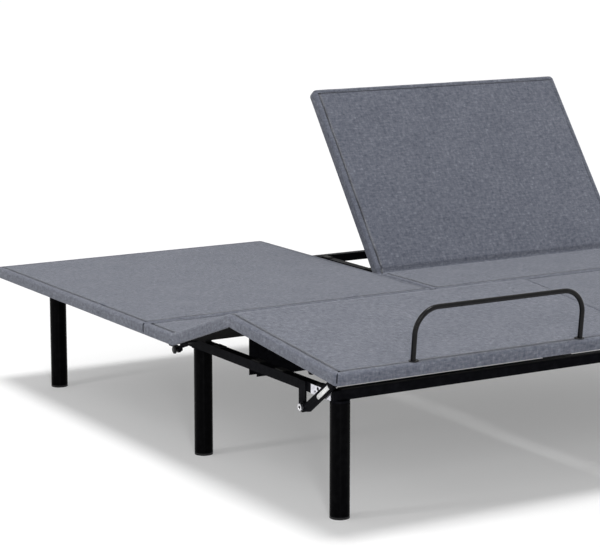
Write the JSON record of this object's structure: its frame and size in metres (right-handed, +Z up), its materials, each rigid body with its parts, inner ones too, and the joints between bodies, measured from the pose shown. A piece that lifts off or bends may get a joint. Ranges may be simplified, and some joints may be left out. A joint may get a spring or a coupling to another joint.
{
  "type": "adjustable bed base",
  "caption": "Split powered bed base: paired upholstered decks whose back, thigh and foot sections lift on a black steel frame with round legs and foot retainer bars.",
  "frame": {"origin": "centre of the footprint on the floor", "axes": "+X across the bed to the right half seen from the foot end, +Y towards the head end, +Z up"},
  "size_m": [1.94, 2.032, 0.899],
  "materials": {
    "frame_steel": "satin black powder coat",
    "leg_steel": "gloss black powder coat",
    "gloss_steel": "gloss black powder coat",
    "deck_fabric": "heathered blue-grey woven upholstery",
    "deck_board": "black lining cloth on plywood",
    "black_plastic": "fine texture",
    "buffer_rubber": "matte",
    "zinc_plate": "bright zinc plating",
    "drive_aluminium": "satin",
    "rod_steel": "ground and plated",
    "nylon": "natural nylon"
  },
  "bodies": {
    "root": {"side_rails": "frame_steel", "end_rails": "frame_steel", "cross_members": "frame_steel", "drive_cradles": "frame_steel", "leg_plates": "frame_steel", "legs": "leg_steel", "leg_glides": "black_plastic", "leg_studs": "zinc_plate", "rail_buffers": "buffer_rubber", "seat_boards": "deck_board", "left_seat_pads": "deck_fabric", "right_seat_pads": "deck_fabric", "gearboxes": "black_plastic", "motors": "black_plastic", "drive_tubes": "drive_aluminium", "drive_brackets": "frame_steel", "drive_pins": "zinc_plate", "control_boxes": "black_plastic", "power_inlets": "black_plastic", "link_hangers": "frame_steel", "link_bolts": "zinc_plate", "rail_plates": "zinc_plate", "frame_couplers": "frame_steel", "back_hinges": "frame_steel", "thigh_hinges": "frame_steel", "thigh_hinge_bolts": "gloss_steel"},
    "left_back": {"left_back_board": "deck_board", "left_back_pad": "deck_fabric", "left_back_frame": "frame_steel"},
    "left_back_push": {"left_back_rod": "rod_steel"},
    "left_thigh": {"left_thigh_board": "deck_board", "left_thigh_pad": "deck_fabric", "left_thigh_frame": "frame_steel", "left_knee_pins": "zinc_plate"},
    "left_leg_push": {"left_leg_rod": "rod_steel"},
    "left_foot": {"left_foot_board": "deck_board", "left_foot_pad": "deck_fabric", "left_foot_frame": "frame_steel", "left_foot_bracket": "frame_steel", "left_retainer_bar": "gloss_steel", "left_bar_sockets": "black_plastic"},
    "left_link": {"left_foot_link": "frame_steel", "left_link_liner": "nylon"},
    "right_back": {"right_back_board": "deck_board", "right_back_pad": "deck_fabric", "right_back_frame": "frame_steel"},
    "right_back_push": {"right_back_rod": "rod_steel"},
    "right_thigh": {"right_thigh_board": "deck_board", "right_thigh_pad": "deck_fabric", "right_thigh_frame": "frame_steel", "right_knee_pins": "zinc_plate"},
    "right_leg_push": {"right_leg_rod": "rod_steel"},
    "right_foot": {"right_foot_board": "deck_board", "right_foot_pad": "deck_fabric", "right_foot_frame": "frame_steel", "right_foot_bracket": "frame_steel", "right_retainer_bar": "gloss_steel", "right_bar_sockets": "black_plastic"},
    "right_link": {"right_foot_link": "frame_steel", "right_link_liner": "nylon"}
  },
  "joints": [
    {"name": "left_back_lift", "type": "hinge", "parent": "root", "child": "left_back", "pos_m": [-0.4875, 0.331, 0.319], "axis": [1, 0, 0], "range_deg": [0, 60]},
    {"name": "left_back_push", "type": "slide", "parent": "root", "child": "left_back_push", "axis": [0, 1, 0], "range_m": [0, 0.09159]},
    {"name": "left_knee_lift", "type": "hinge", "parent": "root", "child": "left_thigh", "pos_m": [-0.4875, -0.168, 0.319], "axis": [-1, 0, 0], "range_deg": [-19, 13]},
    {"name": "left_foot_fold", "type": "hinge", "parent": "left_thigh", "child": "left_foot", "pos_m": [-0.4875, -0.47813, 0.42579], "axis": [1, 0, 0], "range_deg": [-24.8, 16.97]},
    {"name": "left_link_swing", "type": "hinge", "parent": "root", "child": "left_link", "pos_m": [-0.4875, -0.6935, 0.2624], "axis": [-1, 0, 0], "range_deg": [-26.94, 18.43]},
    {"name": "left_leg_push", "type": "slide", "parent": "root", "child": "left_leg_push", "axis": [0, -1, 0], "range_m": [-0.02701, 0.01848]},
    {"name": "right_back_lift", "type": "hinge", "parent": "root", "child": "right_back", "pos_m": [0.4875, 0.331, 0.319], "axis": [1, 0, 0], "range_deg": [-54, 6]},
    {"name": "right_back_push", "type": "slide", "parent": "root", "child": "right_back_push", "axis": [0, 1, 0], "range_m": [-0.08243, 0.00916]},
    {"name": "right_knee_lift", "type": "hinge", "parent": "root", "child": "right_thigh", "pos_m": [0.4875, -0.168, 0.319], "axis": [-1, 0, 0], "range_deg": [0, 32]},
    {"name": "right_foot_fold", "type": "hinge", "parent": "right_thigh", "child": "right_foot", "pos_m": [0.4875, -0.496, 0.319], "axis": [1, 0, 0], "range_deg": [0, 41.77]},
    {"name": "right_link_swing", "type": "hinge", "parent": "root", "child": "right_link", "pos_m": [0.4875, -0.6935, 0.2624], "axis": [-1, 0, 0], "range_deg": [0, 45.36]},
    {"name": "right_leg_push", "type": "slide", "parent": "root", "child": "right_leg_push", "axis": [0, -1, 0], "range_m": [0, 0.04549]}
  ],
  "couplings": [
    {"joint": "left_back_push", "follows": "left_back_lift", "m_per_rad": 0.08711},
    {"joint": "left_foot_fold", "follows": "left_knee_lift", "ratio": 1.3},
    {"joint": "left_link_swing", "follows": "left_knee_lift", "ratio": 1.412},
    {"joint": "left_leg_push", "follows": "left_knee_lift", "m_per_rad": 0.08112},
    {"joint": "right_back_push", "follows": "right_back_lift", "m_per_rad": 0.08711},
    {"joint": "right_foot_fold", "follows": "right_knee_lift", "ratio": 1.3},
    {"joint": "right_link_swing", "follows": "right_knee_lift", "ratio": 1.412},
    {"joint": "right_leg_push", "follows": "right_knee_lift", "m_per_rad": 0.08112}
  ]
}
